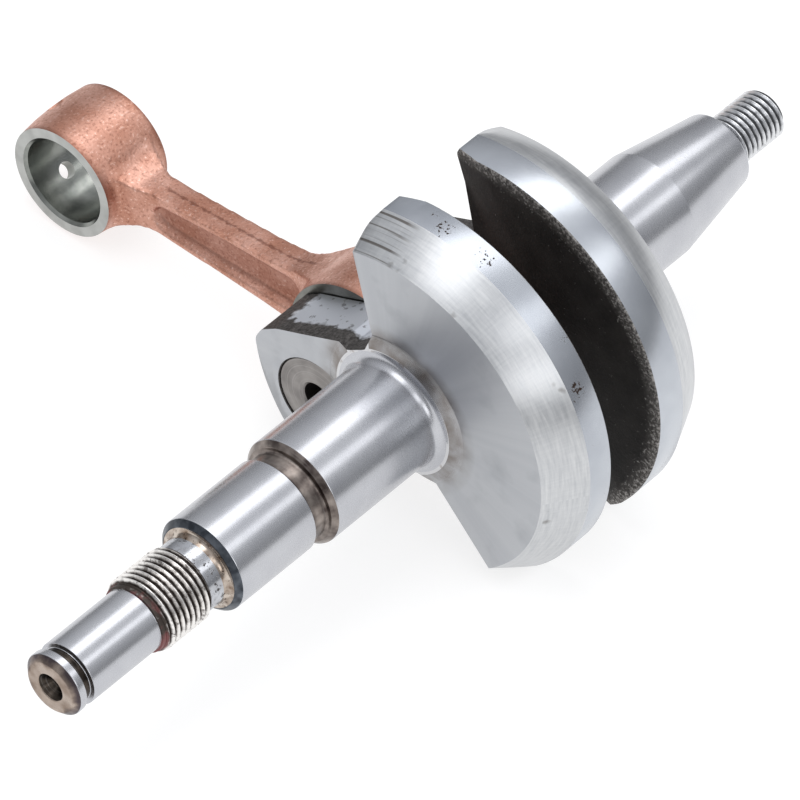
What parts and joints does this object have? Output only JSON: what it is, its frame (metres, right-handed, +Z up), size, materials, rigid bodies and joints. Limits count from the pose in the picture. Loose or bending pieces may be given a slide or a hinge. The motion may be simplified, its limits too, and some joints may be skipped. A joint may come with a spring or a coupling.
{
  "type": "crankshaft",
  "caption": "Built-up two-stroke crankshaft with counterweighted webs, a pressed hollow crank pin and a copper-plated connecting rod on a caged needle bearing.",
  "frame": {"origin": "on the crank axis, at the middle of the clutch side's main bearing seat", "axes": "+X along the crank axis towards the flywheel end, +Z up as the crank lies with the rod's small end on a bench, +Y towards the rod's small end"},
  "size_m": [0.1504, 0.1109, 0.0528],
  "materials": {
    "ground_forged_steel": "forged steel, ground journals and turned webs, with black forging scale on the inner faces",
    "hardened_pin_steel": "case-hardened steel, turned end faces, brownish grey",
    "copper_plated_steel": "dull pinkish copper plate over forged steel, with bare ground eyes",
    "cage_steel": "machined steel, oiled",
    "bearing_steel": "ground and lapped bearing steel"
  },
  "bodies": {
    "crank": {"crank_half_clutch": "ground_forged_steel", "crank_half_flywheel": "ground_forged_steel", "crank_pin": "hardened_pin_steel"},
    "rod": {"connecting_rod": "copper_plated_steel"},
    "bearing_cage": {"roller_cage": "cage_steel"},
    "needle_01": {"roller_01": "bearing_steel"},
    "needle_02": {"roller_02": "bearing_steel"},
    "needle_03": {"roller_03": "bearing_steel"},
    "needle_04": {"roller_04": "bearing_steel"},
    "needle_05": {"roller_05": "bearing_steel"},
    "needle_06": {"roller_06": "bearing_steel"},
    "needle_07": {"roller_07": "bearing_steel"},
    "needle_08": {"roller_08": "bearing_steel"},
    "needle_09": {"roller_09": "bearing_steel"},
    "needle_10": {"roller_10": "bearing_steel"},
    "needle_11": {"roller_11": "bearing_steel"},
    "needle_12": {"roller_12": "bearing_steel"},
    "needle_13": {"roller_13": "bearing_steel"},
    "needle_14": {"roller_14": "bearing_steel"}
  },
  "joints": [
    {"name": "rod_swing", "type": "hinge", "parent": "crank", "child": "rod", "pos_m": [0.0239, 0.01442, -0.00901], "axis": [1, 0, 0], "continuous": true},
    {"name": "cage_orbit", "type": "hinge", "parent": "crank", "child": "bearing_cage", "pos_m": [0.0239, 0.01442, -0.00901], "axis": [1, 0, 0], "continuous": true},
    {"name": "roller_spin_01", "type": "hinge", "parent": "bearing_cage", "child": "needle_01", "pos_m": [0.0239, 0.02291, -0.00958], "axis": [1, 0, 0], "continuous": true},
    {"name": "roller_spin_02", "type": "hinge", "parent": "bearing_cage", "child": "needle_02", "pos_m": [0.0239, 0.02231, -0.00584], "axis": [1, 0, 0], "continuous": true},
    {"name": "roller_spin_03", "type": "hinge", "parent": "bearing_cage", "child": "needle_03", "pos_m": [0.0239, 0.02016, -0.00273], "axis": [1, 0, 0], "continuous": true},
    {"name": "roller_spin_04", "type": "hinge", "parent": "bearing_cage", "child": "needle_04", "pos_m": [0.0239, 0.01686, -0.00086], "axis": [1, 0, 0], "continuous": true},
    {"name": "roller_spin_05", "type": "hinge", "parent": "bearing_cage", "child": "needle_05", "pos_m": [0.0239, 0.01308, -0.0006], "axis": [1, 0, 0], "continuous": true},
    {"name": "roller_spin_06", "type": "hinge", "parent": "bearing_cage", "child": "needle_06", "pos_m": [0.0239, 0.00957, -0.00201], "axis": [1, 0, 0], "continuous": true},
    {"name": "roller_spin_07", "type": "hinge", "parent": "bearing_cage", "child": "needle_07", "pos_m": [0.0239, 0.00701, -0.00481], "axis": [1, 0, 0], "continuous": true},
    {"name": "roller_spin_08", "type": "hinge", "parent": "bearing_cage", "child": "needle_08", "pos_m": [0.0239, 0.00593, -0.00844], "axis": [1, 0, 0], "continuous": true},
    {"name": "roller_spin_09", "type": "hinge", "parent": "bearing_cage", "child": "needle_09", "pos_m": [0.0239, 0.00652, -0.01218], "axis": [1, 0, 0], "continuous": true},
    {"name": "roller_spin_10", "type": "hinge", "parent": "bearing_cage", "child": "needle_10", "pos_m": [0.0239, 0.00868, -0.01529], "axis": [1, 0, 0], "continuous": true},
    {"name": "roller_spin_11", "type": "hinge", "parent": "bearing_cage", "child": "needle_11", "pos_m": [0.0239, 0.01197, -0.01716], "axis": [1, 0, 0], "continuous": true},
    {"name": "roller_spin_12", "type": "hinge", "parent": "bearing_cage", "child": "needle_12", "pos_m": [0.0239, 0.01575, -0.01741], "axis": [1, 0, 0], "continuous": true},
    {"name": "roller_spin_13", "type": "hinge", "parent": "bearing_cage", "child": "needle_13", "pos_m": [0.0239, 0.01926, -0.016], "axis": [1, 0, 0], "continuous": true},
    {"name": "roller_spin_14", "type": "hinge", "parent": "bearing_cage", "child": "needle_14", "pos_m": [0.0239, 0.02182, -0.01321], "axis": [1, 0, 0], "continuous": true}
  ],
  "couplings": [
    {"joint": "cage_orbit", "follows": "rod_swing", "ratio": 0.58872},
    {"joint": "roller_spin_01", "follows": "rod_swing", "ratio": 2.7658},
    {"joint": "roller_spin_02", "follows": "rod_swing", "ratio": 2.7658},
    {"joint": "roller_spin_03", "follows": "rod_swing", "ratio": 2.7658},
    {"joint": "roller_spin_04", "follows": "rod_swing", "ratio": 2.7658},
    {"joint": "roller_spin_05", "follows": "rod_swing", "ratio": 2.7658},
    {"joint": "roller_spin_06", "follows": "rod_swing", "ratio": 2.7658},
    {"joint": "roller_spin_07", "follows": "rod_swing", "ratio": 2.7658},
    {"joint": "roller_spin_08", "follows": "rod_swing", "ratio": 2.7658},
    {"joint": "roller_spin_09", "follows": "rod_swing", "ratio": 2.7658},
    {"joint": "roller_spin_10", "follows": "rod_swing", "ratio": 2.7658},
    {"joint": "roller_spin_11", "follows": "rod_swing", "ratio": 2.7658},
    {"joint": "roller_spin_12", "follows": "rod_swing", "ratio": 2.7658},
    {"joint": "roller_spin_13", "follows": "rod_swing", "ratio": 2.7658},
    {"joint": "roller_spin_14", "follows": "rod_swing", "ratio": 2.7658}
  ]
}
